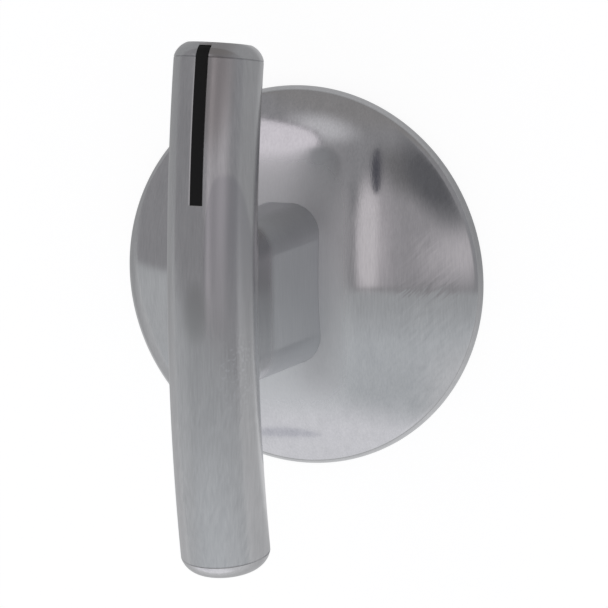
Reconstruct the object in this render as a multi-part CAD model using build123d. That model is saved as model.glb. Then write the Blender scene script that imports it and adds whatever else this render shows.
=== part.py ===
from build123d import *
import math
import os

# Stove knob with a domed skirt and a bowed bar handle on a neck.
# Frame: origin at the middle of the skirt's back rim, +Z along the stem axis towards the user,
# +Y along the bar to its marked end. All sizes are in millimetres.

# Skirt, a cast dome with a rounded edge and a hollow back
skirt_d = 50.0
skirt_h = 9.4
skirt_edge_r = 1.8
skirt_land = 0.23
skirt_wall = 1.8
skirt_web = 2.2
key_rib_t = 1.2
key_rib_h = 1.2
key_rib_len = 13.0

# Handle, one casting: a bowed round bar with crowned ends on an upright neck
bar_d = 11.6
bar_len = 68.6
bar_bow_r = 164.0
bar_axis_h = 31.4
bar_end_h = 1.9
bar_end_flat_d = 8.4
bar_end_bulge = 0.3
neck_w = 10.8
neck_len = 21.2
neck_corner_r = 4.2
neck_root_r = 2.0
foot_depth = 2.2
foot_clear = 0.05

# Indicator line, an inlay in a groove along the crown of the bar
line_w = 1.73
line_start = 14.3
line_depth = 0.7
line_sunk = 0.1
line_end_lip = 0.35

# Appliance stem that the knob takes: a round shank with a D-shaped tip
stem_shank_d = 8.0
stem_shank_len = 4.0
stem_tip_d = 6.0
stem_tip_flat = 4.5
stem_tip_len = 10.0
stem_clear = 0.05

# Hub, a moulded socket behind the skirt
hub_recess = 0.4
hub_flange_t = 1.6
hub_flange_w = 13.0
hub_flange_edge = 1.6
hub_wall = 1.2
hub_cap_t = 0.8
hub_fit = 0.05
collar_slit_w = 1.0

# Spring ring round the slotted collar
ring_t = 0.7
ring_share = 0.6
ring_groove = 0.35
ring_gap_deg = 50.0
ring_fit = 0.03

# Screws that clamp the skirt between the hub and the neck
screw_d = 2.5
screw_len = 10.0
screw_pitch = 16.4
screw_head_d = 4.5
screw_head_h = 1.7
screw_hole_clear = 0.2
screw_thread_clear = 0.02
screw_tip_room = 1.0
screw_cross_w = 0.7
screw_cross_len = 2.6
screw_cross_depth = 0.9

# Dome sphere: it passes through the crown and runs tangent into the rounded edge
skirt_r = skirt_d / 2
edge_centre_r = skirt_r - skirt_edge_r
dome_rise = skirt_h - skirt_land
dome_r = (edge_centre_r**2 + dome_rise**2 - skirt_edge_r**2) / (2 * (dome_rise - skirt_edge_r))
dome_centre_z = skirt_h - dome_r
cavity_r = dome_r - skirt_wall

# Heights of the stack on the stem axis, from the crown down
seat_z = skirt_h - foot_depth
pad_z = seat_z - skirt_web
flange_z = pad_z - hub_flange_t

# Radii on the stem axis
shank_r = stem_shank_d / 2 + stem_clear
tip_r = stem_tip_d / 2 + stem_clear
tip_flat_x = stem_tip_flat - stem_tip_d / 2 + stem_clear
collar_r = shank_r + hub_wall
spigot_r = tip_r + hub_wall
shank_end_z = hub_recess + stem_shank_len
tip_end_z = shank_end_z + stem_tip_len
spigot_end_z = tip_end_z + hub_cap_t

# Screws on the bar's line, and the flange outline that carries their heads
screw_y = screw_pitch / 2
flange_len = screw_pitch + screw_head_d + 2 * hub_flange_edge
screw_tip_z = flange_z + screw_len

# Bowed bar
bar_r = bar_d / 2
bar_bow_centre_z = bar_axis_h - bar_bow_r


def disc(radius, low, high):
    """Upright round column on the stem axis."""
    return Pos(0, 0, low) * Cylinder(radius, high - low, align=(Align.CENTER, Align.CENTER, Align.MIN))


def column(outline, low, high):
    """Plan outline raised from one height to another."""
    return extrude(Pos(0, 0, low) * outline, high - low)


def screw_columns(radius, low, high):
    """Round column at each screw."""
    return [Pos(0, side * screw_y, 0) * disc(radius, low, high) for side in (-1, 1)]


def bowed_bar(inset):
    """Bar with its whole surface moved in by the inset."""
    radius = bar_r - inset
    straight = bar_len / 2 - bar_end_h
    half_angle = math.degrees(straight / bar_bow_r)
    bow_axis = Axis((0, 0, bar_bow_centre_z), (1, 0, 0))
    section = Plane((0, 0, bar_axis_h), x_dir=(1, 0, 0), z_dir=(0, 1, 0)) * Circle(radius)
    ring_part = revolve(section, bow_axis, 2 * half_angle)
    shaft = ring_part.rotate(bow_axis, -half_angle)
    flat_r = bar_end_flat_d / 2 - inset
    height = bar_end_h - inset
    bulge = bar_end_bulge / math.sqrt(2)
    middle = ((radius + flat_r) / 2 + bulge, height / 2 + bulge)
    outline = Polyline((flat_r, height), (0, height), (0, 0), (radius, 0))
    crown_arc = ThreePointArc((radius, 0), middle, (flat_r, height))
    cap_face = Plane.XZ * make_face([outline, crown_arc])
    cap = revolve(cap_face, Axis.Z)
    upper_cap = Pos(0, 0, bar_axis_h) * Rot(-90, 0, 0) * cap
    lower_cap = Pos(0, 0, bar_axis_h) * Rot(90, 0, 0) * cap
    return shaft + upper_cap.rotate(bow_axis, -half_angle) + lower_cap.rotate(bow_axis, half_angle)


def make_skirt():
    edge_scale = dome_r / (dome_r - skirt_edge_r)
    edge_top = (edge_centre_r * edge_scale, dome_centre_z + (skirt_land - dome_centre_z) * edge_scale)
    edge_turn = math.atan2(edge_top[1] - skirt_land, edge_top[0] - edge_centre_r) / 2
    edge_middle = (
        edge_centre_r + skirt_edge_r * math.cos(edge_turn),
        skirt_land + skirt_edge_r * math.sin(edge_turn),
    )
    crown_turn = math.asin(edge_top[0] / dome_r) / 2
    crown_middle = (dome_r * math.sin(crown_turn), dome_centre_z + dome_r * math.cos(crown_turn))
    base = Polyline((0, skirt_h), (0, 0), (skirt_r, 0), (skirt_r, skirt_land))
    edge = ThreePointArc((skirt_r, skirt_land), edge_middle, edge_top)
    crown = ThreePointArc(edge_top, crown_middle, (0, skirt_h))
    dome = revolve(Plane.XZ * make_face([base, edge, crown]), Axis.Z)
    cavity = Pos(0, 0, dome_centre_z) * Sphere(cavity_r)
    cavity &= disc(skirt_r, -skirt_h, pad_z)
    skirt = dome - cavity
    rib_x = hub_flange_w / 2 + hub_fit + key_rib_t / 2
    for side in (-1, 1):
        skirt += Pos(side * rib_x, 0, pad_z - key_rib_h / 2) * Box(key_rib_t, key_rib_len, key_rib_h)
    pocket = RectangleRounded(
        neck_w + 2 * foot_clear,
        neck_len + 2 * foot_clear,
        neck_corner_r + foot_clear,
    )
    skirt -= column(pocket, seat_z, skirt_h)
    skirt -= disc(spigot_r + hub_fit, 0, skirt_h)
    return skirt - screw_columns(screw_d / 2 + screw_hole_clear, 0, skirt_h)


def make_handle_blank():
    neck_top = bar_bow_centre_z + math.sqrt(bar_bow_r**2 - (neck_len / 2) ** 2)
    neck = column(RectangleRounded(neck_w, neck_len, neck_corner_r), seat_z, neck_top)
    bar = bowed_bar(0)
    blank = bar + neck
    return fillet(new_edges(bar, neck, combined=blank), neck_root_r)


def line_slot():
    reach = bar_len / 2 + bar_end_h
    return Pos(0, line_start, bar_axis_h) * Box(
        line_w,
        reach,
        bar_d,
        align=(Align.CENTER, Align.MIN, Align.MIN),
    )


def bar_end_stop():
    """Everything beyond the lip that closes the groove at the marked end."""
    half_angle = math.degrees((bar_len / 2 - line_end_lip) / bar_bow_r)
    block = Pos(0, 0, bar_axis_h) * Box(
        2 * bar_d,
        2 * bar_d,
        2 * bar_d,
        align=(Align.CENTER, Align.MIN, Align.CENTER),
    )
    return block.rotate(Axis((0, 0, bar_bow_centre_z), (1, 0, 0)), -half_angle)


def make_handle():
    handle = make_handle_blank()
    handle -= (line_slot() - bowed_bar(line_depth)) - bar_end_stop()
    handle -= disc(spigot_r + hub_fit, seat_z, spigot_end_z + hub_fit)
    hole_top = screw_tip_z + screw_tip_room
    return handle - screw_columns(screw_d / 2 + screw_thread_clear, seat_z, hole_top)


def make_line():
    band = bowed_bar(line_sunk) - bowed_bar(line_depth)
    return (line_slot() & band) - bar_end_stop()


def make_hub():
    flange = column(SlotOverall(flange_len, hub_flange_w, rotation=90), flange_z, pad_z)
    hub = flange + disc(collar_r, hub_recess, pad_z) + disc(spigot_r, pad_z, spigot_end_z)
    hub -= disc(shank_r, hub_recess, shank_end_z)
    tip = disc(tip_r, shank_end_z, tip_end_z)
    tip -= Pos(tip_flat_x, 0, shank_end_z) * Box(
        stem_tip_d,
        2 * stem_tip_d,
        stem_tip_len,
        align=(Align.MIN, Align.CENTER, Align.MIN),
    )
    hub -= tip
    hub -= Pos(0, 0, hub_recess) * Box(
        collar_slit_w,
        4 * collar_r,
        flange_z - hub_recess,
        align=(Align.CENTER, Align.CENTER, Align.MIN),
    )
    low, high = ring_heights()
    hub -= disc(collar_r, low, high) - disc(collar_r - ring_groove, low, high)
    return hub - screw_columns(screw_d / 2 + screw_hole_clear, flange_z, pad_z)


def ring_heights():
    collar_h = flange_z - hub_recess
    margin = collar_h * (1 - ring_share) / 2
    return hub_recess + margin, flange_z - margin


def make_ring():
    low, high = ring_heights()
    low += ring_fit
    high -= ring_fit
    inner_r = collar_r - ring_groove + ring_fit
    band = disc(inner_r + ring_t, low, high) - disc(inner_r, low, high)
    reach = 2 * collar_r
    half_gap = math.radians(ring_gap_deg / 2)
    gap = Polygon(
        (0, 0),
        (reach * math.cos(half_gap), -reach * math.sin(half_gap)),
        (reach * math.cos(half_gap), reach * math.sin(half_gap)),
        align=None,
    )
    return band - column(gap, low, high)


def make_screws():
    head_r = screw_head_d / 2
    rim = screw_head_h / 2
    outline = Polyline(
        (0, -screw_head_h),
        (0, screw_len),
        (screw_d / 2, screw_len),
        (screw_d / 2, 0),
        (head_r, 0),
        (head_r, -rim),
    )
    dome = SagittaArc((head_r, -rim), (0, -screw_head_h), -head_r / 12)
    screw = revolve(Plane.XZ * make_face([outline, dome]), Axis.Z)
    for turn in (0, 90):
        screw -= Rot(0, 0, turn) * Pos(0, 0, -screw_head_h) * Box(
            screw_cross_len,
            screw_cross_w,
            2 * screw_cross_depth,
        )
    return [Pos(0, side * screw_y, flange_z) * screw for side in (-1, 1)]


os.makedirs("parts", exist_ok=True)
export_step(make_skirt(), "parts/skirt.step")
export_step(make_handle(), "parts/bar_handle.step")
export_step(make_line(), "parts/indicator_line.step")
export_step(make_hub(), "parts/shaft_hub.step")
export_step(make_ring(), "parts/spring_ring.step")
export_step(Compound(make_screws()), "parts/hub_screws.step")
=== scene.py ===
import math

import bpy
import numpy as np
from mathutils import Matrix, Vector


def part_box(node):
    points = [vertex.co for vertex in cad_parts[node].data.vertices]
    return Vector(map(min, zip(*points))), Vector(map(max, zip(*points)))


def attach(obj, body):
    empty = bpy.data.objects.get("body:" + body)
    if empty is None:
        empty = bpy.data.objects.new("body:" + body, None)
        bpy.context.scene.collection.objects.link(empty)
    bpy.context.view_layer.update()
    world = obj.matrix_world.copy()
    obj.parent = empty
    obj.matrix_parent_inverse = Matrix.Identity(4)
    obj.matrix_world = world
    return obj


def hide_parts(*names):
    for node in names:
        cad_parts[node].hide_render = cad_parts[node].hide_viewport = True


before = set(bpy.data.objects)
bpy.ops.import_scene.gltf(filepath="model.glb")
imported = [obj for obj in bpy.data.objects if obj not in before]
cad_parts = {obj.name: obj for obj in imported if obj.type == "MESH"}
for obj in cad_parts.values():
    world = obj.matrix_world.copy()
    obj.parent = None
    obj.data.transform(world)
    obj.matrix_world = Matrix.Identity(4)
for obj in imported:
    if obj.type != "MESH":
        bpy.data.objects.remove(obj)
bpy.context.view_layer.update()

# Stove knob lying on its back: +Y runs along the bar to the marked end, +Z is the stem axis.
# Shapes are worked out in millimetres and put into meshes in metres. Finishes and studio are in metres.

mm = 0.001
skirtBox = np.array(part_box("skirt")) / mm
handleBox = np.array(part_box("bar_handle")) / mm


# Mesh helpers

def gridFaces(rowCount, colCount, wrapRows=False):
    # quads of a vertex grid numbered row by row: the columns close round, and the rows too when asked
    rowIds = np.arange(rowCount if wrapRows else rowCount - 1)
    row, col = np.meshgrid(rowIds, np.arange(colCount), indexing="ij")
    nextRow = (row + 1) % rowCount
    nextCol = (col + 1) % colCount
    quads = np.stack([row * colCount + col, row * colCount + nextCol,
                      nextRow * colCount + nextCol, nextRow * colCount + col], axis=-1)
    return quads.reshape(-1, 4)


def fanFaces(ring, pole, flip):
    # triangles from one ring of vertices to a single pole vertex
    after = np.roll(ring, -1)
    poleIds = np.full_like(ring, pole)
    return np.stack([after, ring, poleIds] if flip else [ring, after, poleIds], axis=-1)


def linkMesh(name, mesh, sharpDeg):
    # object for a mesh, smooth apart from edges that are sharper than the angle
    mesh.shade_smooth()
    mesh.set_sharp_from_angle(angle=math.radians(sharpDeg))
    piece = bpy.data.objects.new(name, mesh)
    bpy.context.scene.collection.objects.link(piece)
    return piece


def newPiece(name, points, faceSets, sharpDeg):
    mesh = bpy.data.meshes.new(name)
    faces = [face for faceSet in faceSets for face in faceSet.tolist()]
    mesh.from_pydata((points * mm).tolist(), [], faces)
    mesh.validate()
    return linkMesh(name, mesh, sharpDeg)


def arcThrough(start, middle, end, count):
    # points of the circle through three points, evenly spaced by angle from start to end
    start, middle, end = (np.array(p, float) for p in (start, middle, end))
    rows = 2 * np.array([middle - start, end - start])
    sums = np.array([middle @ middle - start @ start, end @ end - start @ start])
    centre = np.linalg.solve(rows, sums)
    startAngle, endAngle = (math.atan2(*(p - centre)[::-1]) for p in (start, end))
    turn = (endAngle - startAngle + math.pi) % (2 * math.pi) - math.pi
    angle = startAngle + turn * np.linspace(0, 1, count)
    normal = np.stack([np.cos(angle), np.sin(angle)], axis=-1)
    return centre + np.linalg.norm(start - centre) * normal, normal


def roundedOutline(halfWidth, halfLength, corner, angle):
    # distance from the middle to a rounded rectangle's edge along each polar angle
    tiny = 1e-9
    dx, dy = np.abs(np.cos(angle)), np.abs(np.sin(angle))
    toSide = halfWidth / np.maximum(dx, tiny)
    toEnd = halfLength / np.maximum(dy, tiny)
    cx, cy = halfWidth - corner, halfLength - corner
    along = dx * cx + dy * cy
    toCorner = along + np.sqrt(np.maximum(along**2 - (cx**2 + cy**2 - corner**2), 0))
    onSide = toSide * dy <= cy
    onEnd = toEnd * dx <= cx
    return np.where(onSide, toSide, np.where(onEnd, toEnd, toCorner))


# Skirt: a domed shell with a rounded edge, a pocket for the neck's foot and two key ribs inside

skirt = {
    "radius": skirtBox[1][0], "height": 9.4, "edgeRadius": 1.8, "land": 0.23, "wall": 1.8,
    "seatZ": 7.2, "padZ": 5.0, "boreRadius": 4.3,
    "footHalfWidth": 5.405, "footHalfLength": 10.605, "footCorner": 4.205, "lip": 0.01,
    "heel": ((0.02, 0.06), (0.08, 0.0)),
    "ribX": 7.15, "ribSize": (1.2, 13.0, 1.2), "ribRound": 0.25, "ribSunk": 0.3,
    "ribColumns": 48, "ribRows": 5,
    "columns": 360, "domeRows": 44, "edgeRows": 13, "cavityRows": 20, "sharpDeg": 25,
}


def domeRadius(s):
    # sphere through the crown that runs tangent into the rounded edge
    rise = s["height"] - s["land"]
    inner = s["radius"] - s["edgeRadius"]
    return (inner**2 + rise**2 - s["edgeRadius"]**2) / (2 * (rise - s["edgeRadius"]))


def domeHeight(s, radius):
    # height of the dome's sphere at a distance from the stem axis
    sphere = domeRadius(s)
    return s["height"] - sphere + np.sqrt(sphere**2 - radius**2)


def skirtSurface(s):
    # closed section turned about the stem axis, as rows of radius and height: bore, foot pocket, dome,
    # rounded edge, heel and the hollow's sphere; the pocket's rows follow the foot's outline
    angle = np.arange(s["columns"]) * 2 * math.pi / s["columns"]
    sphere = domeRadius(s)
    centreZ = s["height"] - sphere
    pocket = roundedOutline(s["footHalfWidth"], s["footHalfLength"], s["footCorner"], angle)
    lipOut = pocket + s["lip"]
    rows = [
        (s["boreRadius"], s["padZ"]),
        (s["boreRadius"], s["seatZ"]),
        (pocket, s["seatZ"]),
        (pocket, domeHeight(s, pocket) - s["lip"]),
        (lipOut, domeHeight(s, lipOut)),
    ]
    edgeInner = s["radius"] - s["edgeRadius"]
    domeEnd = edgeInner * sphere / (sphere - s["edgeRadius"])
    for share in np.linspace(0, 1, s["domeRows"])[1:]:
        radius = lipOut + (domeEnd - lipOut) * share
        rows.append((radius, domeHeight(s, radius)))
    for turn in np.linspace(math.asin(domeEnd / sphere), math.pi / 2, s["edgeRows"])[1:]:
        rows.append((edgeInner + s["edgeRadius"] * math.sin(turn),
                     s["land"] + s["edgeRadius"] * math.cos(turn)))
    for inset, height in s["heel"]:
        rows.append((s["radius"] - inset, height))
    cavity = sphere - s["wall"]
    rimInner = math.sqrt(cavity**2 - centreZ**2)
    padRadius = math.sqrt(cavity**2 - (s["padZ"] - centreZ)**2)
    for radius in np.linspace(rimInner, padRadius, s["cavityRows"]):
        rows.append((radius, centreZ + math.sqrt(cavity**2 - radius**2)))
    radii = np.array([np.broadcast_to(radius, angle.shape) for radius, height in rows])
    heights = np.array([np.broadcast_to(height, angle.shape) for radius, height in rows])
    points = np.stack([radii * np.cos(angle), radii * np.sin(angle), heights], axis=-1)
    return points.reshape(-1, 3), [gridFaces(len(rows), s["columns"], wrapRows=True)[:, ::-1]]


def ribSurface(s, side):
    # key rib: a rounded rectangle in plan, carried down from inside the pad, with a rounded lower edge
    width, length, depth = s["ribSize"]
    angle = np.linspace(0, 2 * math.pi, s["ribColumns"], endpoint=False)
    outline = roundedOutline(width / 2, length / 2, s["ribRound"], angle)
    turns = np.linspace(0, math.pi / 2, s["ribRows"])
    inset = np.concatenate([[0.0], s["ribRound"] * (1 - np.cos(turns))])
    drop = np.concatenate([[-s["ribSunk"]], depth - s["ribRound"] + s["ribRound"] * np.sin(turns)])
    shrink = 1 - inset[:, None] / outline[None, :]
    middleX = side * s["ribX"]
    x = middleX + outline * np.cos(angle) * shrink
    y = outline * np.sin(angle) * shrink
    z = s["padZ"] - np.repeat(drop[:, None], len(angle), axis=1)
    points = np.stack([x, y, z], axis=-1).reshape(-1, 3)
    ends = np.array([[middleX, 0, s["padZ"] + s["ribSunk"]], [middleX, 0, s["padZ"] - depth]])
    count = len(points)
    faces = gridFaces(len(drop), len(angle))[:, ::-1]
    top = fanFaces(np.arange(len(angle)), count, False)
    low = fanFaces(np.arange(count - len(angle), count), count + 1, True)
    return np.vstack([points, ends]), [faces, top, low]


def makeSkirt(s):
    points, faceSets = skirtSurface(s)
    for side in (-1, 1):
        ribPoints, ribFaces = ribSurface(s, side)
        faceSets += [faces + len(points) for faces in ribFaces]
        points = np.vstack([points, ribPoints])
    piece = newPiece("skirt_shell", points, faceSets, s["sharpDeg"])
    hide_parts("skirt")
    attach(piece, "root")
    return piece


# Bar handle: a bowed round bar with crowned ends and an indicator groove, on an upright neck

bar = {
    "radius": handleBox[1][0], "axisHeight": handleBox[1][2] - handleBox[1][0],
    "bowRadius": 164.0, "crease": 32.4, "endHeight": 1.9, "endFlat": 4.2, "endBulge": 0.3,
    "lineHalfWidth": 0.865, "lineStart": 14.3, "lineDepth": 0.7, "lineSunk": 0.1, "lineEndLip": 0.35,
    "lipRound": 0.11, "lipRun": 0.1, "draft": 0.05,
    "creaseWidth": 0.16, "creaseDepth": 0.07, "creaseFloor": (0.62, 0.38),
    "flatShares": (0.97, 0.6, 0.25), "leastRing": 1.02,
    "rowStep": 0.5, "columns": 120, "grooveColumns": 5, "capRows": 12, "sharpDeg": 14,
}
neck = {
    "halfWidth": 5.4, "halfLength": 10.6, "corner": 4.2, "rootRadius": 2.0, "seatZ": skirt["seatZ"],
    "boreRadius": skirt["boreRadius"], "boreTop": 15.25, "filletEnd": 0.97, "buried": (0.8, 0.3),
    "columns": 240, "wallRows": 24, "filletRows": 10,
}


def bowFrame(b, along):
    # centre line of the bar and its outward and forward directions at each arc length
    turn = along / b["bowRadius"]
    zero = np.zeros_like(turn)
    outward = np.stack([zero, np.sin(turn), np.cos(turn)], axis=-1)
    forward = np.stack([zero, np.cos(turn), -np.sin(turn)], axis=-1)
    middle = outward * b["bowRadius"]
    middle[:, 2] += b["axisHeight"] - b["bowRadius"]
    return middle, outward, forward


def bowPoints(b, along, reach, angle, height):
    # centre line at each row, plus a reach at an angle from the crown and a height along the bar
    middle, outward, forward = bowFrame(b, along)
    sideways = np.array([1.0, 0, 0])
    return (middle[:, None, :] + outward[:, None, :] * (reach * np.cos(angle))[..., None]
            + sideways * (reach * np.sin(angle))[..., None] + forward[:, None, :] * height[..., None])


def endProfile(b):
    # crowned end: radius and height above the crease, with the surface's own normals
    mid = np.array([(b["radius"] + b["endFlat"]) / 2, b["endHeight"] / 2]) + b["endBulge"] / math.sqrt(2)
    return arcThrough((b["radius"], 0), mid, (b["endFlat"], b["endHeight"]), b["capRows"])


def lineStartAlong(b):
    # arc length at which the crown of the bar reaches the line's start
    return b["bowRadius"] * math.asin(b["lineStart"] / (b["bowRadius"] + b["radius"]))


def barRows(b):
    # one row per ring of the bar: arc length of its centre, radius, height past the crease,
    # the normal's outward and forward parts, and how deep the groove may cut there
    start = lineStartAlong(b)
    steps = int(round(2 * b["crease"] / b["rowStep"]))
    along = np.linspace(-b["crease"], b["crease"], steps + 1)[1:-1]
    cut = start + np.array([-b["lipRound"], 0, b["draft"]])
    along = along[np.abs(along - start) > b["rowStep"] / 2]
    along = np.sort(np.concatenate([along, cut]))
    depth = np.interp(along, cut, [0, b["lipRound"], b["lineDepth"]])
    shaft = np.stack([along, np.full_like(along, b["radius"]), np.zeros_like(along),
                      np.ones_like(along), np.zeros_like(along), depth], axis=-1)
    low = b["radius"] - b["creaseDepth"]
    lowDepth = b["lineDepth"] - b["creaseDepth"]
    first, last = b["creaseFloor"]
    crease = np.array([[b["crease"] - b["creaseWidth"], b["radius"], 0, 1, 0, b["lineDepth"]],
                       [b["crease"] - b["creaseWidth"] * first, low, 0, 1, 0, lowDepth],
                       [b["crease"] - b["creaseWidth"] * last, low, 0, 1, 0, lowDepth],
                       [b["crease"], b["radius"], 0, 1, 0, b["lineDepth"]]])
    arc, normal = endProfile(b)
    stop = b["endHeight"] - b["lineEndLip"]
    capDepth = np.where(arc[:, 1] < stop, b["lipRound"], 0)
    capDepth = np.where(arc[:, 1] < stop - b["lipRun"], b["lineDepth"], capDepth)
    upper = np.stack([np.full(len(arc), b["crease"]), arc[:, 0], arc[:, 1],
                      normal[:, 0], normal[:, 1], capDepth], axis=-1)[1:]
    flat = np.array([[b["crease"], b["endFlat"] * share, b["endHeight"], 0, 1, 0]
                     for share in b["flatShares"]])
    upper = np.vstack([crease, upper, flat])
    lower = upper[::-1] * np.array([-1, 1, -1, 1, -1, 0])
    return np.vstack([lower, shaft, upper])


def barSurface(b):
    # grid round the bar: each point lies at its row's radius, less the groove's depth, at its column's angle;
    # the middle columns keep a fixed sideways place so that the groove stays straight
    edge = b["lineHalfWidth"]
    floorX = np.linspace(-1, 1, b["grooveColumns"]) * (edge - b["draft"])
    across = np.concatenate([[-edge - b["lipRound"], -edge], floorX, [edge, edge + b["lipRound"]]])
    sink = np.concatenate([[0, b["lipRound"]], np.full(len(floorX), b["lineDepth"]), [b["lipRound"], 0]])
    rows = barRows(b)
    radius = rows[:, 1:2]
    leastRadius = across.max() * b["leastRing"]
    middleAngle = np.arcsin(across[None, :] / np.maximum(radius, leastRadius))
    share = np.linspace(0, 1, b["columns"] + 2)[1:-1]
    first = middleAngle[:, -1:]
    restAngle = first + (2 * math.pi - 2 * first) * share[None, :]
    angle = np.hstack([middleAngle, restAngle])
    depth = np.minimum(rows[:, 5:6], np.concatenate([sink, np.zeros(b["columns"])])[None, :])
    reach = radius - depth * rows[:, 3:4]
    height = rows[:, 2:3] - depth * rows[:, 4:5]
    points = bowPoints(b, rows[:, 0], reach, angle, height)
    rowCount, colCount = angle.shape
    poles = []
    for sign in (-1, 1):
        middle, outward, forward = bowFrame(b, np.array([sign * b["crease"]]))
        poles.append(middle[0] + forward[0] * sign * b["endHeight"])
    total = rowCount * colCount
    faces = [gridFaces(rowCount, colCount)[:, ::-1],
             fanFaces(np.arange(colCount), total, False),
             fanFaces(np.arange(total - colCount, total), total + 1, True)]
    return np.vstack([points.reshape(-1, 3), poles]), faces


def neckSurface(b, n):
    # rounded outline raised from the foot, then rolled into the bar by a ball that touches wall and bar;
    # the last rows lie buried in the bar, and the first close the bore for the hub
    angle = np.linspace(0, 2 * math.pi, n["columns"], endpoint=False)
    flatX, flatY = n["halfWidth"] - n["corner"], n["halfLength"] - n["corner"]
    reach = roundedOutline(n["halfWidth"], n["halfLength"], n["corner"], angle)
    x, y = reach * np.cos(angle), reach * np.sin(angle)
    wall = np.stack([x - np.clip(x, -flatX, flatX), y - np.clip(y, -flatY, flatY)], axis=-1)
    wall /= np.linalg.norm(wall, axis=-1, keepdims=True)
    ball = n["rootRadius"]
    ballX, ballY = x + wall[:, 0] * ball, y + wall[:, 1] * ball
    bowZ = b["axisHeight"] - b["bowRadius"]
    ring = b["bowRadius"] - np.sqrt((b["radius"] + ball)**2 - ballX**2)
    ballZ = bowZ + np.sqrt(ring**2 - ballY**2)
    ballAt = np.stack([ballX, ballY, ballZ], axis=-1)
    axisAt = np.stack([np.zeros_like(x), b["bowRadius"] * ballY / ring,
                       bowZ + b["bowRadius"] * (ballZ - bowZ) / ring], axis=-1)
    toBar = (axisAt - ballAt) / (b["radius"] + ball)
    toWall = np.stack([-wall[:, 0], -wall[:, 1], np.zeros_like(x)], axis=-1)
    sweep = np.arccos(np.clip((toBar * toWall).sum(-1), -1, 1))
    rows = [np.stack([n["boreRadius"] * np.cos(angle), n["boreRadius"] * np.sin(angle),
                      np.full_like(angle, z)], axis=-1) for z in (n["boreTop"], n["seatZ"])]
    for share in np.linspace(0, 1, n["wallRows"]):
        rows.append(np.stack([x, y, n["seatZ"] + (ballZ - n["seatZ"]) * share], axis=-1))
    for share in np.linspace(0, n["filletEnd"], n["filletRows"])[1:]:
        lean = np.sin((1 - share) * sweep)[:, None] * toWall + np.sin(share * sweep)[:, None] * toBar
        rows.append(ballAt + ball * lean / np.sin(sweep)[:, None])
    for share in n["buried"]:
        rows.append(axisAt - toBar * b["radius"] * share)
    points = np.vstack(rows)
    poles = np.array([[0, 0, n["boreTop"]], [0, 0, b["axisHeight"]]])
    total = len(points)
    faces = [gridFaces(len(rows), n["columns"]), fanFaces(np.arange(n["columns"]), total, True),
             fanFaces(np.arange(total - n["columns"], total), total + 1, False)]
    return np.vstack([points, poles]), faces


def makeHandle(b, n):
    barPiece = newPiece("bar_blank", *barSurface(b), b["sharpDeg"])
    neckPiece = newPiece("neck_blank", *neckSurface(b, n), b["sharpDeg"])
    weld = barPiece.modifiers.new("weld neck", "BOOLEAN")
    weld.operation = "UNION"
    weld.solver = "EXACT"
    weld.object = neckPiece
    welded = barPiece.evaluated_get(bpy.context.evaluated_depsgraph_get())
    casting = bpy.data.meshes.new_from_object(welded)
    for blank in (barPiece, neckPiece):
        bpy.data.objects.remove(blank)
    casting.name = "bar_handle_casting"
    piece = linkMesh("bar_handle_casting", casting, b["sharpDeg"])
    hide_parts("bar_handle")
    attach(piece, "root")
    return piece


# Indicator line: a black strip that follows the crown of the bar and turns over its marked end

strip = {"rows": 60, "startGap": 0.025, "endGap": 0.08, "sideGap": 0.01, "edge": 0.05, "sharpDeg": 30}


def makeLine(b, t):
    # section carried along the crown: a flat strip with softened upper edges, a little below the metal
    along = np.linspace(lineStartAlong(b) + t["startGap"], b["crease"], t["rows"])
    arc, normal = endProfile(b)
    keep = arc[:, 1] < b["endHeight"] - b["lineEndLip"] - t["endGap"]
    arc, normal = arc[keep][1:], normal[keep][1:]
    rowAlong = np.concatenate([along, np.full(len(arc), b["crease"])])
    rowRadius = np.concatenate([np.full_like(along, b["radius"]), arc[:, 0]])
    rowHeight = np.concatenate([np.zeros_like(along), arc[:, 1]])
    normalOut = np.concatenate([np.ones_like(along), normal[:, 0]])
    normalUp = np.concatenate([np.zeros_like(along), normal[:, 1]])
    half = b["lineHalfWidth"]
    rightX = np.array([half / 2, half - t["sideGap"] - t["edge"], half - t["sideGap"], half - b["draft"]])
    rightSink = np.array([b["lineSunk"], b["lineSunk"], b["lineSunk"] + t["edge"], b["lineDepth"]])
    across = np.concatenate([-rightX[::-1], [0], rightX])
    sink = np.concatenate([rightSink[::-1], [b["lineSunk"]], rightSink])
    reach = rowRadius[:, None] - sink[None, :] * normalOut[:, None]
    height = rowHeight[:, None] - sink[None, :] * normalUp[:, None]
    angle = np.arcsin(across[None, :] / reach)
    points = bowPoints(b, rowAlong, reach, angle, height)
    rowCount, colCount = angle.shape
    ring = np.arange(colCount)
    ends = [ring[None, :], (ring + (rowCount - 1) * colCount)[None, ::-1]]
    piece = newPiece("indicator_strip", points.reshape(-1, 3),
                     [gridFaces(rowCount, colCount)[:, ::-1]] + ends, t["sharpDeg"])
    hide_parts("indicator_line")
    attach(piece, "root")
    return piece


# Finishes

def feed(tree, socket, value):
    # link a socket to a node's output, or set its plain value
    if isinstance(value, bpy.types.NodeSocket):
        tree.links.new(value, socket)
    else:
        socket.default_value = value


def nodeMaker(tree):
    def make(kind, settings=None, **inputs):
        node = tree.nodes.new(kind)
        for key, value in (settings or {}).items():
            setattr(node, key, value)
        for key, value in inputs.items():
            feed(tree, node.inputs[key.replace("_", " ")], value)
        return node
    return make


def mathNode(tree, operation, *values):
    node = tree.nodes.new("ShaderNodeMath")
    node.operation = operation
    for socket, value in zip(node.inputs, values):
        feed(tree, socket, value)
    return node.outputs[0]


def mixValue(tree, first, factor, second):
    # first value plus a share of the way to the second
    step = mathNode(tree, "SUBTRACT", second, first)
    return mathNode(tree, "ADD", first, mathNode(tree, "MULTIPLY", factor, step))


def centred(tree, value, share):
    # a noise value moved to lie evenly about zero, times a share
    return mathNode(tree, "MULTIPLY", mathNode(tree, "SUBTRACT", value, 0.5), share)


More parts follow.
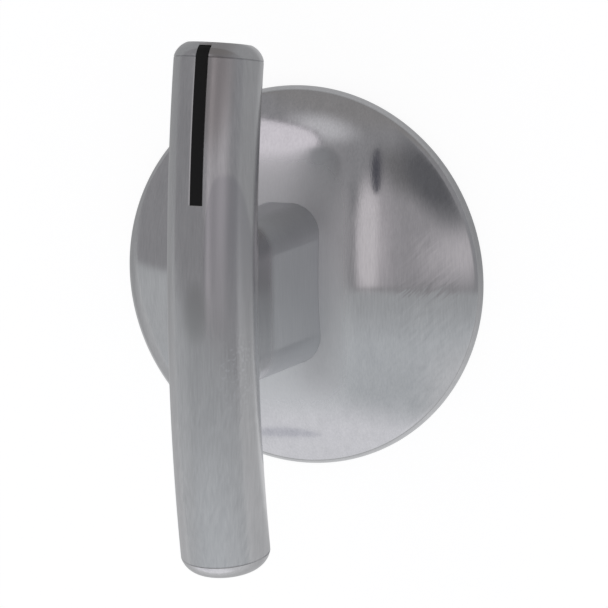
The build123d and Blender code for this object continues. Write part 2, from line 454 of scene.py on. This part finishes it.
def smoothStep(tree, value, low, high):
    # zero at the first value, one at the second, smooth between them
    node = tree.nodes.new("ShaderNodeMapRange")
    node.interpolation_type = "SMOOTHSTEP"
    tree.links.new(value, node.inputs["Value"])
    node.inputs["From Min"].default_value = low
    node.inputs["From Max"].default_value = high
    return node.outputs["Result"]


def ovalReach(tree, offsets, halves, power):
    # how far out a place lies in a rounded box: sum of each offset over its half size, to a power
    terms = []
    for offset, half in zip(offsets, halves):
        share = mathNode(tree, "ABSOLUTE", mathNode(tree, "DIVIDE", offset, half))
        terms.append(mathNode(tree, "POWER", share, power))
    return mathNode(tree, "ADD", *terms)


def layColour(tree, base, factor, colour):
    # a colour laid over a base by a factor
    node = tree.nodes.new("ShaderNodeMix")
    node.data_type = "RGBA"
    tree.links.new(factor, node.inputs["Factor"])
    for label, value in (("A", base), ("B", colour)):
        plain = not isinstance(value, bpy.types.NodeSocket)
        feed(tree, node.inputs[label], (*value, 1) if plain else value)
    return node.outputs["Result"]


def splitVector(tree, vector):
    node = tree.nodes.new("ShaderNodeSeparateXYZ")
    tree.links.new(vector, node.inputs[0])
    return node.outputs


def newGroup(name, inputs, outputs):
    group = bpy.data.node_groups.new(name, "ShaderNodeTree")
    for label in inputs:
        group.interface.new_socket(label, in_out="INPUT", socket_type="NodeSocketFloat")
    group.interface.new_socket("Vector", in_out="INPUT", socket_type="NodeSocketVector")
    for label in outputs:
        group.interface.new_socket(label, in_out="OUTPUT", socket_type="NodeSocketFloat")
    return group, group.nodes.new("NodeGroupInput"), group.nodes.new("NodeGroupOutput")


grainLook = {"streakScale": (0.16, 0.35, 0.16)}
strokeLook = {"length": 0.18, "patchScale": 95.0, "patchEdge": (0.42, 0.62)}


def brushGrainGroup(look):
    # two noises drawn out along Y: long fine hairs and broader soft streaks
    group, source, result = newGroup("brushGrain", ["Hair per mm", "Draw out"], ["Hair", "Streak"])
    make = nodeMaker(group)
    perMetre = mathNode(group, "MULTIPLY", source.outputs["Hair per mm"], 1 / mm)
    along = mathNode(group, "DIVIDE", perMetre, source.outputs["Draw out"])
    stretch = make("ShaderNodeCombineXYZ", X=perMetre, Y=along, Z=perMetre)
    drawn = make("ShaderNodeVectorMath", {"operation": "MULTIPLY"}, Vector=source.outputs["Vector"])
    group.links.new(stretch.outputs["Vector"], drawn.inputs[1])
    hair = make("ShaderNodeTexNoise", Vector=drawn.outputs["Vector"], Scale=1.0, Detail=2.0, Roughness=0.6)
    wide = make("ShaderNodeVectorMath", {"operation": "MULTIPLY"}, Vector=drawn.outputs["Vector"])
    wide.inputs[1].default_value = look["streakScale"]
    streak = make("ShaderNodeTexNoise", Vector=wide.outputs["Vector"], Scale=1.0, Detail=3.0, Roughness=0.55)
    group.links.new(hair.outputs["Fac"], result.inputs["Hair"])
    group.links.new(streak.outputs["Fac"], result.inputs["Streak"])
    return group


def polishMarkGroup(look):
    # short slanted strokes left by a polishing wheel, fading in and out in patches
    group, source, result = newGroup("polishMarks", ["Per mm", "Slant"], ["Strokes", "Patch"])
    make = nodeMaker(group)
    turned = make("ShaderNodeVectorRotate", {"rotation_type": "Z_AXIS"}, Vector=source.outputs["Vector"],
                  Angle=source.outputs["Slant"])
    perMetre = mathNode(group, "MULTIPLY", source.outputs["Per mm"], 1 / mm)
    along = mathNode(group, "MULTIPLY", perMetre, look["length"])
    stretch = make("ShaderNodeCombineXYZ", X=perMetre, Y=along, Z=along)
    drawn = make("ShaderNodeVectorMath", {"operation": "MULTIPLY"}, Vector=turned.outputs["Vector"])
    group.links.new(stretch.outputs["Vector"], drawn.inputs[1])
    strokes = make("ShaderNodeTexNoise", Vector=drawn.outputs["Vector"], Scale=1.0, Detail=1.0, Roughness=0.4,
                   Distortion=0.3)
    patch = make("ShaderNodeTexNoise", Vector=source.outputs["Vector"], Scale=look["patchScale"], Detail=1.0)
    group.links.new(strokes.outputs["Fac"], result.inputs["Strokes"])
    group.links.new(smoothStep(group, patch.outputs["Fac"], *look["patchEdge"]), result.inputs["Patch"])
    return group


groups = {"grain": brushGrainGroup(grainLook), "marks": polishMarkGroup(strokeLook)}


def newMaterial(name):
    material = bpy.data.materials.new(name)
    material.use_nodes = True
    tree = material.node_tree
    shader = tree.nodes["Principled BSDF"]
    place = tree.nodes.new("ShaderNodeTexCoord").outputs["Object"]
    return material, tree, shader, place


def placeGroup(tree, group, place, **values):
    node = tree.nodes.new("ShaderNodeGroup")
    node.node_tree = group
    tree.links.new(place, node.inputs["Vector"])
    for label, value in values.items():
        node.inputs[label.replace("_", " ")].default_value = value
    return node.outputs


# Satin metal. Places and half sizes are in metres, seen from the front.
# A fade is given by the place where it starts and the place where it is full.
satin = {
    "skirt": {
        "dark": (0.475, 0.48, 0.49), "light": (0.725, 0.725, 0.735),
        "rough": 0.09, "roughSpread": 0.08, "brushed": 0.0, "hair": 5.0, "drawOut": 12.0, "bump": 0.016,
        "marks": 2.0, "slant": 0.75, "markBump": 0.2, "markAxis": "X", "markPlace": (0.0125, 0.018),
        "dullOval": (0.0092, 0.0168), "ovalPower": 4.0, "ovalEdge": (1.6, 0.3), "backFacing": (-0.02, -0.25),
        # painted light: a share of this lighter tone is laid over the dull face round the neck
        "dullRise": 0.28, "dullPaintedLight": (0.86, 0.865, 0.87), "dullPaintedLightShare": 0.46,
        # painted shade: the skirt's tone drops a little towards the lower end
        "paintedLightTowards": (-0.006, -0.016), "paintedLightRise": -0.08,
        "paintedReflections": [],
    },
    "handle": {
        "dark": (0.45, 0.455, 0.465), "light": (0.69, 0.69, 0.7),
        "rough": 0.2, "roughSpread": 0.09, "brushed": 0.72, "hair": 4.5, "drawOut": 14.0, "bump": 0.035,
        "marks": 1.7, "slant": 0.25, "markBump": 0.4, "markAxis": "Y", "markPlace": (-0.004, -0.016),
        "dullBelow": (0.026, 0.0225),
        # painted light: a share of this lighter bluish tone is laid over the neck
        "dullRise": 0.26, "dullPaintedLight": (0.84, 0.88, 0.92), "dullPaintedLightShare": 0.32,
        # painted light: the handle's tone rises towards the bar's lower end
        "paintedLightTowards": (-0.002, -0.026), "paintedLightRise": 0.3,
        # painted reflections: darker patches on the bar and one lighter patch broken into specks
        "paintedReflections": [
            {"at": (0.0018, 0.0295), "half": (0.0028, 0.0105), "colour": (0.42, 0.405, 0.405)},
            {"at": (0.0035, 0.0004), "half": (0.0024, 0.0177), "colour": (0.48, 0.48, 0.5),
             "power": 3.0, "edge": (1.12, 0.9), "fade": (-0.006, 0.013)},
            {"at": (0.0, 0.0005), "half": (0.0022, 0.0052), "colour": (0.47, 0.475, 0.48)},
            {"at": (0.0046, -0.0072), "half": (0.0024, 0.0068), "colour": (0.655, 0.66, 0.68),
             "speckScale": 2600.0, "speckEdge": (0.54, 0.68)},
        ],
    },
}
satinCommon = {"hairTone": 0.6, "streakTone": 0.4, "strokeTone": 0.5, "reliefDepth": 0.1 * mm}


def paintedReflectionMask(tree, place, axes, spot):
    # painted reflection patch: one in the middle of an oval seen from the front, fading to zero at its edge;
    # some patches also fade out along the bar or are broken up into specks
    offsets = [mathNode(tree, "SUBTRACT", axes[label], centre) for label, centre in zip("XY", spot["at"])]
    reach = ovalReach(tree, offsets, spot["half"], spot.get("power", 2.0))
    mask = smoothStep(tree, reach, *spot.get("edge", (1.0, 0.0)))
    if "fade" in spot:
        mask = mathNode(tree, "MULTIPLY", mask, smoothStep(tree, axes["Y"], *spot["fade"]))
    if "speckScale" in spot:
        noise = nodeMaker(tree)("ShaderNodeTexNoise", Vector=place, Scale=spot["speckScale"], Detail=2.0)
        specks = smoothStep(tree, noise.outputs["Fac"], *spot["speckEdge"])
        mask = mathNode(tree, "MULTIPLY", mask, specks)
    return mask


def dullMask(tree, axes, look):
    # where no polishing wheel reaches, rougher and given a painted lighter tone: below a height, or round the
    # neck and behind the skirt
    if "dullBelow" in look:
        return smoothStep(tree, axes["Z"], *look["dullBelow"])
    reach = ovalReach(tree, (axes["X"], axes["Y"]), look["dullOval"], look["ovalPower"])
    facing = splitVector(tree, tree.nodes.new("ShaderNodeNewGeometry").outputs["True Normal"])
    behind = smoothStep(tree, facing["Z"], *look["backFacing"])
    return mathNode(tree, "MAXIMUM", smoothStep(tree, reach, *look["ovalEdge"]), behind)


def satinMetal(name, look):
    # satin plated casting: drawn grain in colour, gloss and relief, polishing strokes in patches, painted
    # light that shifts the tone towards the lower end, painted reflection patches outside the dull face, and
    # a duller face where no polishing wheel reaches, rougher and painted a lighter tone
    material, tree, shader, place = newMaterial(name)
    make = nodeMaker(tree)
    grain = placeGroup(tree, groups["grain"], place, Hair_per_mm=look["hair"], Draw_out=look["drawOut"])
    marks = placeGroup(tree, groups["marks"], place, Per_mm=look["marks"], Slant=look["slant"])
    axes = splitVector(tree, place)
    dull = dullMask(tree, axes, look)
    where = smoothStep(tree, axes[look["markAxis"]], *look["markPlace"])
    strokes = centred(tree, marks["Strokes"], mathNode(tree, "MULTIPLY", where, marks["Patch"]))
    tone = mathNode(tree, "ADD", mathNode(tree, "MULTIPLY", grain["Hair"], satinCommon["hairTone"]),
                    mathNode(tree, "MULTIPLY", grain["Streak"], satinCommon["streakTone"]))
    # painted light: the tone shifts by the rise towards the lower end
    paintedLightAlong = smoothStep(tree, axes["Y"], *look["paintedLightTowards"])
    tone = mathNode(tree, "ADD", tone, mathNode(tree, "MULTIPLY", paintedLightAlong, look["paintedLightRise"]))
    tone = mathNode(tree, "ADD", tone, mathNode(tree, "MULTIPLY", strokes, satinCommon["strokeTone"]))
    metal = layColour(tree, look["dark"], tone, look["light"])
    outsideDull = mathNode(tree, "SUBTRACT", 1.0, dull)
    # painted reflections, laid as darker and lighter patches outside the dull face
    for spot in look["paintedReflections"]:
        mask = mathNode(tree, "MULTIPLY", paintedReflectionMask(tree, place, axes, spot), outsideDull)
        metal = layColour(tree, metal, mask, spot["colour"])
    # painted light: lighter colour laid over the dull face
    paintedLightShare = mathNode(tree, "MULTIPLY", dull, look["dullPaintedLightShare"])
    rough = mathNode(tree, "ADD", centred(tree, grain["Streak"], look["roughSpread"]), look["rough"])
    relief = mathNode(tree, "ADD", mathNode(tree, "MULTIPLY", grain["Hair"], look["bump"]),
                      mathNode(tree, "MULTIPLY", strokes, look["markBump"]))
    bump = make("ShaderNodeBump", Height=relief, Distance=satinCommon["reliefDepth"], Strength=1.0)
    acrossBar = make("ShaderNodeCombineXYZ", X=1.0)
    finish = {
        "Base Color": layColour(tree, metal, paintedLightShare, look["dullPaintedLight"]),
        "Roughness": mathNode(tree, "ADD", rough, mathNode(tree, "MULTIPLY", dull, look["dullRise"])),
        "Normal": bump.outputs["Normal"],
        "Metallic": 1.0,
        "Anisotropic": look["brushed"],
        "Tangent": acrossBar.outputs["Vector"],
    }
    for label, value in finish.items():
        feed(tree, shader.inputs[label], value)
    return material


inlay = {"dark": (0.004, 0.004, 0.004), "light": (0.009, 0.009, 0.009), "scale": 2200.0,
         "rough": 0.42, "roughSpread": 0.12, "specular": 0.25}


def blackInlay(look):
    # smooth black paint-filled strip with a faint unevenness
    material, tree, shader, place = newMaterial("black_inlay")
    noise = nodeMaker(tree)("ShaderNodeTexNoise", Vector=place, Scale=look["scale"], Detail=2.0)
    uneven = noise.outputs["Fac"]
    rough = mathNode(tree, "MULTIPLY", uneven, look["roughSpread"])
    feed(tree, shader.inputs["Base Color"], layColour(tree, look["dark"], uneven, look["light"]))
    feed(tree, shader.inputs["Roughness"], mathNode(tree, "ADD", rough, look["rough"]))
    feed(tree, shader.inputs["Specular IOR Level"], look["specular"])
    return material


plastic = {"dark": (0.022, 0.022, 0.024), "light": (0.045, 0.045, 0.048), "mottleScale": 260.0,
           "grainScale": 3500.0, "grainDepth": 0.02 * mm, "grainShare": 0.6,
           "rough": 0.42, "roughSpread": 0.2}


def blackPlastic(look):
    # moulded filled plastic: fine pebbled grain and soft mottled sheen
    material, tree, shader, place = newMaterial("black_plastic")
    make = nodeMaker(tree)
    grain = make("ShaderNodeTexNoise", Vector=place, Scale=look["grainScale"], Detail=3.0, Roughness=0.6)
    mottle = make("ShaderNodeTexNoise", Vector=place, Scale=look["mottleScale"], Detail=2.0).outputs["Fac"]
    rough = mathNode(tree, "MULTIPLY", mottle, look["roughSpread"])
    bump = make("ShaderNodeBump", Height=grain.outputs["Fac"], Distance=look["grainDepth"],
                Strength=look["grainShare"])
    feed(tree, shader.inputs["Base Color"], layColour(tree, look["dark"], mottle, look["light"]))
    feed(tree, shader.inputs["Roughness"], mathNode(tree, "ADD", rough, look["rough"]))
    feed(tree, shader.inputs["Normal"], bump.outputs["Normal"])
    return material


steel = {
    "spring_steel": {"dark": (0.34, 0.34, 0.35), "light": (0.5, 0.5, 0.5), "rough": 0.2},
    "plated_screw": {"dark": (0.55, 0.56, 0.58), "light": (0.72, 0.72, 0.72), "rough": 0.22},
}
steelGrain = {"hair": 9.0, "drawOut": 1.0, "roughSpread": 0.12}


def plainSteel(name):
    # bright rolled or plated steel with a fine grain and small stains
    look = steel[name]
    material, tree, shader, place = newMaterial(name)
    grain = placeGroup(tree, groups["grain"], place, Hair_per_mm=steelGrain["hair"],
                       Draw_out=steelGrain["drawOut"])
    rough = mathNode(tree, "MULTIPLY", grain["Hair"], steelGrain["roughSpread"])
    feed(tree, shader.inputs["Base Color"], layColour(tree, look["dark"], grain["Streak"], look["light"]))
    feed(tree, shader.inputs["Roughness"], mathNode(tree, "ADD", rough, look["rough"]))
    feed(tree, shader.inputs["Metallic"], 1.0)
    return material


def dress(piece, material):
    piece.data.materials.clear()
    piece.data.materials.append(material)


# Studio: a floor that is white to the camera, a room of soft panels and the photograph's camera

studio = {
    "wall": (0.345, 0.34, 0.352), "ceiling": (0.335, 0.325, 0.325), "ceilingFrom": (44.0, 54.0),
    "bench": (0.465, 0.475, 0.485), "benchMid": (0.6, 0.62, 0.64), "benchNear": (0.93, 0.925, 0.96),
    "benchRise": (-12.0, -34.0), "benchStep": (-47.0, -66.0), "benchLean": 0.2,
    "benchSide": (0.7, 0.705, 0.72), "benchSideFrom": (26.0, 46.0), "benchSideBelow": (-22.0, -44.0),
    "horizon": -10.3, "horizonSoft": 1.2, "horizonSlope": 0.03,
}


def panel(at, half, colour, power=2, soft=0.5, tilt=0):
    return {"at": at, "half": half, "colour": colour, "power": power, "soft": soft, "tilt": tilt}


# Panels by direction, in degrees: turn from the front towards +X, lift towards +Y. Later ones lie on top.
roomPanels = [
    panel((95, 12), (26, 20), (0.36, 0.36, 0.375), power=4),
    panel((25, 8), (14, 24), (0.41, 0.395, 0.41), power=4),
    panel((-25, 19), (20, 11), (0.45, 0.445, 0.46), power=4, soft=0.3),
    panel((45, 2), (13, 9), (0.62, 0.59, 0.61), soft=0.8),
    panel((24, 33), (12, 7), (0.22, 0.215, 0.22), soft=0.8, tilt=-25),
    panel((35, 29), (16, 8), (0.15, 0.15, 0.16), soft=0.6, tilt=-58),
    panel((2.5, 8), (3, 17), (0.2, 0.2, 0.21), power=2.5),
    panel((12.5, 8), (6, 19), (0.55, 0.52, 0.54), power=2.5, soft=0.7),
    panel((10.2, 8), (4.0, 20), (0.76, 0.72, 0.74), power=3, soft=0.35),
    panel((24, -9.8), (20, 0.9), (0.33, 0.32, 0.33)),
    panel((12.5, 33), (2, 8.5), (0.08, 0.08, 0.1), soft=0.12, tilt=3),
    panel((-17, 46), (15, 4), (0.7, 0.69, 0.71), soft=0.7),
    panel((-52, 32.6), (38.5, 9.0), (0.3, 0.29, 0.31), power=2.1, soft=0.03, tilt=13),
    panel((-52, 32.6), (37, 8.2), (0.93, 0.88, 0.93), power=2.1, soft=0.03, tilt=13),
    panel((-75, 32), (25, 18), studio["wall"], power=6, soft=0.12),
]
benchPanels = [
    panel((-76, -17), (28, 10), (0.55, 0.56, 0.57), power=3),
    panel((-54.5, -57.8), (19, 1.9), (0.69, 0.69, 0.75), soft=0.25, tilt=-14),
]


def layPanels(tree, base, turn, lift, panels):
    # each panel is an oval or rounded box of the direction map, tilted, with a soft edge
    for row in panels:
        tilt = math.radians(row["tilt"])
        sideways = mathNode(tree, "SUBTRACT", turn, row["at"][0])
        upwards = mathNode(tree, "SUBTRACT", lift, row["at"][1])
        long = mathNode(tree, "ADD", mathNode(tree, "MULTIPLY", sideways, math.cos(tilt)),
                        mathNode(tree, "MULTIPLY", upwards, math.sin(tilt)))
        wide = mathNode(tree, "SUBTRACT", mathNode(tree, "MULTIPLY", upwards, math.cos(tilt)),
                        mathNode(tree, "MULTIPLY", sideways, math.sin(tilt)))
        reach = ovalReach(tree, (long, wide), row["half"], row["power"])
        reach = mathNode(tree, "POWER", reach, 1 / row["power"])
        base = layColour(tree, base, smoothStep(tree, reach, 1 + row["soft"], 1 - row["soft"]), row["colour"])
    return base


def makeWorld(s):
    world = bpy.data.worlds.new("studio")
    bpy.context.scene.world = world
    world.use_nodes = True
    tree = world.node_tree
    axes = splitVector(tree, tree.nodes.new("ShaderNodeTexCoord").outputs["Generated"])
    turn = mathNode(tree, "DEGREES", mathNode(tree, "ARCTAN2", axes["X"], axes["Z"]))
    lift = mathNode(tree, "DEGREES", mathNode(tree, "ARCSINE", axes["Y"]))
    room = layColour(tree, s["wall"], smoothStep(tree, lift, *s["ceilingFrom"]), s["ceiling"])
    room = layPanels(tree, room, turn, lift, roomPanels)
    bench = layColour(tree, s["bench"], smoothStep(tree, lift, *s["benchRise"]), s["benchMid"])
    aside = mathNode(tree, "MULTIPLY", smoothStep(tree, turn, *s["benchSideFrom"]),
                     smoothStep(tree, lift, *s["benchSideBelow"]))
    bench = layColour(tree, bench, aside, s["benchSide"])
    leaning = mathNode(tree, "ADD", lift, mathNode(tree, "MULTIPLY", turn, s["benchLean"]))
    bench = layColour(tree, bench, smoothStep(tree, leaning, *s["benchStep"]), s["benchNear"])
    bench = layPanels(tree, bench, turn, lift, benchPanels)
    sloped = mathNode(tree, "ADD", lift, mathNode(tree, "MULTIPLY", turn, s["horizonSlope"]))
    above = smoothStep(tree, sloped, s["horizon"] - s["horizonSoft"], s["horizon"] + s["horizonSoft"])
    background = tree.nodes["Background"].inputs
    feed(tree, background["Color"], layColour(tree, bench, above, room))
    feed(tree, background["Strength"], 1.0)


# The camera sees the floor white. Mirrors see greys painted into the floor's glow as reflected light: three
# by the place along Y, one where a ray meets
# # the floor straight on, and close to the rim a base with two rises, each as amount and span along Y. The
# low base near the rim is a painted shadow.
stageFloor = {
    "size": 6.0, "colour": 0.3, "cameraGlow": 0.86, "mirrorTint": (0.985, 0.99, 1.0),
    "shine": (0.29, 0.42, 0.55), "shineReach": (-0.004, -0.029), "shineFar": (-0.07, -0.16),
    "steepShine": 0.42, "steepFrom": (0.12, 0.03),
    "rimShine": 0.28, "rimReach": (0.036, 0.03),
    "rimRises": ((0.37, 0.006, -0.022), (0.14, 0.012, 0.025)),
}


def mirrorShine(tree, f):
    # how bright the floor looks in a mirror: painted reflection greys, with a painted shadow close to the rim
    axes = splitVector(tree, tree.nodes.new("ShaderNodeTexCoord").outputs["Object"])
    near, middle, far = f["shine"]
    shine = mixValue(tree, near, smoothStep(tree, axes["Y"], *f["shineReach"]), middle)
    shine = mixValue(tree, shine, smoothStep(tree, axes["Y"], *f["shineFar"]), far)
    facing = tree.nodes.new("ShaderNodeLayerWeight").outputs["Facing"]
    shine = mixValue(tree, shine, smoothStep(tree, facing, *f["steepFrom"]), f["steepShine"])
    rim = f["rimShine"]
    for rise, start, end in f["rimRises"]:
        share = smoothStep(tree, axes["Y"], start, end)
        rim = mathNode(tree, "ADD", rim, mathNode(tree, "MULTIPLY", share, rise))
    squares = [mathNode(tree, "POWER", axes[label], 2.0) for label in "XY"]
    fromAxis = mathNode(tree, "SQRT", mathNode(tree, "ADD", *squares))
    return mixValue(tree, shine, smoothStep(tree, fromAxis, *f["rimReach"]), rim)


def makeFloor(f):
    half = f["size"] / 2
    mesh = bpy.data.meshes.new("floor")
    corners = [(-half, -half, 0), (half, -half, 0), (half, half, 0), (-half, half, 0)]
    mesh.from_pydata(corners, [], [(0, 1, 2, 3)])
    floor = bpy.data.objects.new("floor", mesh)
    bpy.context.scene.collection.objects.link(floor)
    material = bpy.data.materials.new("white_floor")
    material.use_nodes = True
    tree = material.node_tree
    tree.nodes.remove(tree.nodes["Principled BSDF"])
    make = nodeMaker(tree)
    path = tree.nodes.new("ShaderNodeLightPath").outputs
    mirrored = mathNode(tree, "MAXIMUM", path["Is Glossy Ray"], path["Is Transmission Ray"])
    seen = mathNode(tree, "MULTIPLY", path["Is Camera Ray"], f["cameraGlow"])
    strength = mathNode(tree, "MAXIMUM", seen, mathNode(tree, "MULTIPLY", mirrored, mirrorShine(tree, f)))
    tint = layColour(tree, (1, 1, 1), mirrored, f["mirrorTint"])
    matt = make("ShaderNodeBsdfDiffuse", Color=(f["colour"],) * 3 + (1,))
    glow = make("ShaderNodeEmission", Strength=strength, Color=tint)
    both = tree.nodes.new("ShaderNodeAddShader")
    tree.links.new(matt.outputs[0], both.inputs[0])
    tree.links.new(glow.outputs[0], both.inputs[1])
    tree.links.new(both.outputs[0], tree.nodes["Material Output"].inputs["Surface"])
    mesh.materials.append(material)


shot = {"turn": 22.75, "lift": 9.04, "roll": -0.73, "distance": 1.5, "target": (0.00462, -0.00191, 0.012),
        "pixelsPerMm": 7.7, "framePixels": 608, "sensor": 36.0, "clipEnd": 20.0}


def makeCamera(c):
    # stands off the target by turn and lift, then rolls about its own axis
    turn, lift, roll = (math.radians(c[key]) for key in ("turn", "lift", "roll"))
    back = Vector((math.sin(turn) * math.cos(lift), math.sin(lift), math.cos(turn) * math.cos(lift)))
    right = Vector((0, 1, 0)).cross(back).normalized()
    up = back.cross(right)
    rolledRight = right * math.cos(roll) + up * math.sin(roll)
    rolledUp = up * math.cos(roll) - right * math.sin(roll)
    data = bpy.data.cameras.new("camera")
    camera = bpy.data.objects.new("camera", data)
    bpy.context.scene.collection.objects.link(camera)
    camera.matrix_world = Matrix((rolledRight, rolledUp, back)).transposed().to_4x4()
    camera.location = Vector(c["target"]) + back * c["distance"]
    data.sensor_width = c["sensor"]
    data.lens = c["pixelsPerMm"] / mm * c["distance"] / c["framePixels"] * c["sensor"]
    data.clip_end = c["clipEnd"]
    bpy.context.scene.camera = camera


skirtPiece = makeSkirt(skirt)
print("skirt built:", len(skirtPiece.data.polygons), "faces")
handlePiece = makeHandle(bar, neck)
print("handle built:", len(handlePiece.data.polygons), "faces")
linePiece = makeLine(bar, strip)
print("indicator built:", len(linePiece.data.polygons), "faces")

dress(skirtPiece, satinMetal("satin_skirt", satin["skirt"]))
dress(handlePiece, satinMetal("satin_handle", satin["handle"]))
dress(linePiece, blackInlay(inlay))
dress(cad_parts["shaft_hub"], blackPlastic(plastic))
dress(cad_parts["spring_ring"], plainSteel("spring_steel"))
dress(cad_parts["hub_screws"], plainSteel("plated_screw"))
print("finishes set")

bpy.context.scene.view_settings.view_transform = "Standard"
makeWorld(studio)
makeFloor(stageFloor)
makeCamera(shot)
print("studio set")
